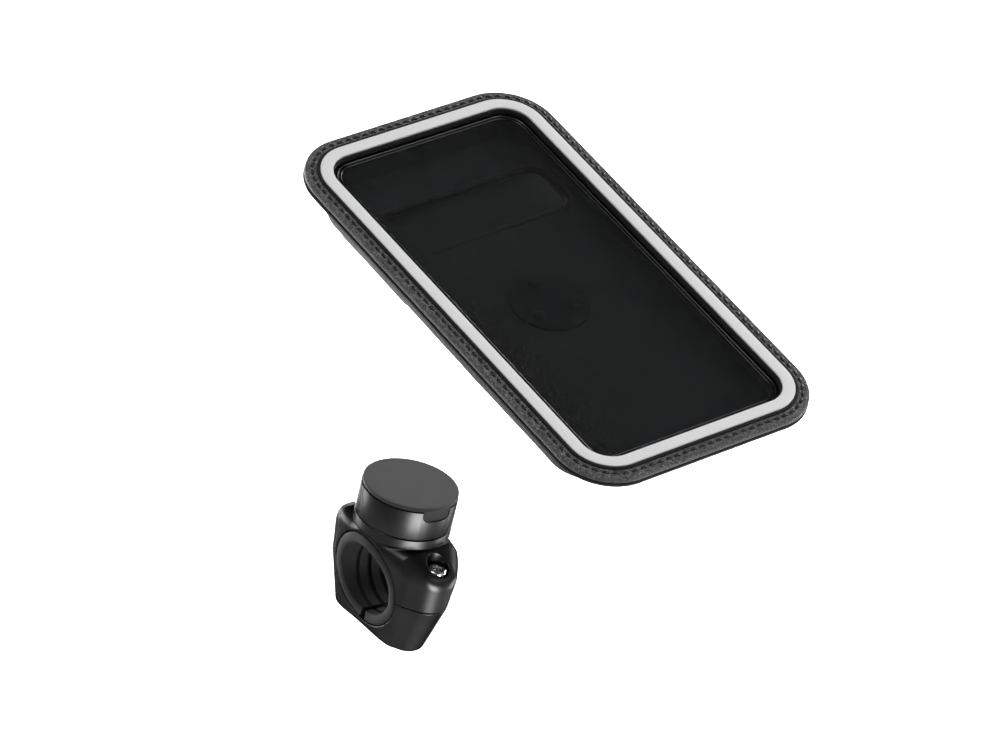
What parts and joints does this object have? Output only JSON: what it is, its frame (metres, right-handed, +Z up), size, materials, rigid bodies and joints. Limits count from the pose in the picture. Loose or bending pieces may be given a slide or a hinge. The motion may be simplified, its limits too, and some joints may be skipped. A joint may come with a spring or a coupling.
{
  "type": "bicycle phone mount",
  "caption": "Handlebar clamp with a round turning magnetic head, and a stitched fabric phone pouch with a clear window whose magnetic puck docks on the head.",
  "frame": {"origin": "centre of the handlebar bore, midway between the clamp's two side faces", "axes": "+X along the handlebar, +Y forward along the bicycle, +Z up along the head's turning axis"},
  "size_m": [0.109, 0.1782, 0.152],
  "materials": {
    "clamp_alloy": "satin black anodised alloy, lighter where the light catches its edges",
    "liner_rubber": "matte dark grey rubber",
    "screw_steel": "bright stainless screws",
    "plate_steel": "plain steel plate",
    "black_steel": "black-oxide steel plate and rivets",
    "magnet_nickel": "nickel-plated magnet",
    "pad_rubber": "mid-grey matte grip rubber with a fine grain",
    "rim_fabric": "heathered dark grey woven fabric",
    "thread": "black sewing thread",
    "reflective_tape": "pale grey reflective band with a soft sheen",
    "clear_film": "thin clear touch film, glossy",
    "back_fabric": "black stretch fabric over thin foam",
    "hook_tape": "black hook-and-loop tape",
    "puck_plastic": "black moulded plastic"
  },
  "bodies": {
    "clamp": {"clamp_saddle": "clamp_alloy", "bar_liner": "liner_rubber", "pivot_screw": "screw_steel", "pivot_washer": "screw_steel"},
    "jaw": {"clamp_jaw": "clamp_alloy"},
    "rear_screw": {"clamp_screw_rear": "screw_steel"},
    "front_screw": {"clamp_screw_front": "screw_steel"},
    "head": {"head_cup": "clamp_alloy", "head_pole_plate": "plate_steel", "head_magnet": "magnet_nickel", "grip_pad": "pad_rubber"},
    "pouch": {"pouch_rim": "rim_fabric", "rim_backing": "back_fabric", "rim_stitching": "thread", "reflective_border": "reflective_tape", "window_film": "clear_film", "pouch_back": "back_fabric", "flap_loop_strip": "hook_tape", "flap_anchor": "back_fabric", "puck_housing": "puck_plastic", "puck_magnet": "magnet_nickel", "puck_face": "pad_rubber", "puck_retainer": "black_steel", "puck_rivet_1": "black_steel", "puck_rivet_2": "black_steel", "puck_rivet_3": "black_steel"},
    "flap": {"back_flap": "back_fabric", "flap_hook_strip": "hook_tape", "flap_pull_tab": "rim_fabric"}
  },
  "joints": [
    {"name": "rear_screw_turn", "type": "hinge", "parent": "clamp", "child": "rear_screw", "pos_m": [0, -0.0213, 0], "axis": [0, 0, 1], "range_deg": [0, 2571.9]},
    {"name": "front_screw_turn", "type": "hinge", "parent": "clamp", "child": "front_screw", "pos_m": [0, 0.0213, 0], "axis": [0, 0, 1], "range_deg": [0, 2571.9]},
    {"name": "jaw_open", "type": "slide", "parent": "clamp", "child": "jaw", "axis": [0, 0, -1], "range_m": [0, 0.005]},
    {"name": "head_turn", "type": "hinge", "parent": "clamp", "child": "head", "pos_m": [0, 0.001, 0.0228], "axis": [0, 0, 1], "continuous": true},
    {"name": "pouch_lift", "type": "hinge", "parent": "head", "child": "pouch", "pos_m": [-0.074, -0.235, 0.129], "axis": [0.7012, -0.5011, -0.5071], "range_deg": [-15.4, 0]},
    {"name": "flap_open", "type": "hinge", "parent": "pouch", "child": "flap", "pos_m": [0.03741, 0.06481, 0.10675], "axis": [0.988, 0.0239, 0.1524], "range_deg": [0, 150]}
  ],
  "couplings": [
    {"joint": "rear_screw_turn", "follows": "jaw_open", "rad_per_m": 8976},
    {"joint": "front_screw_turn", "follows": "jaw_open", "rad_per_m": 8976}
  ]
}
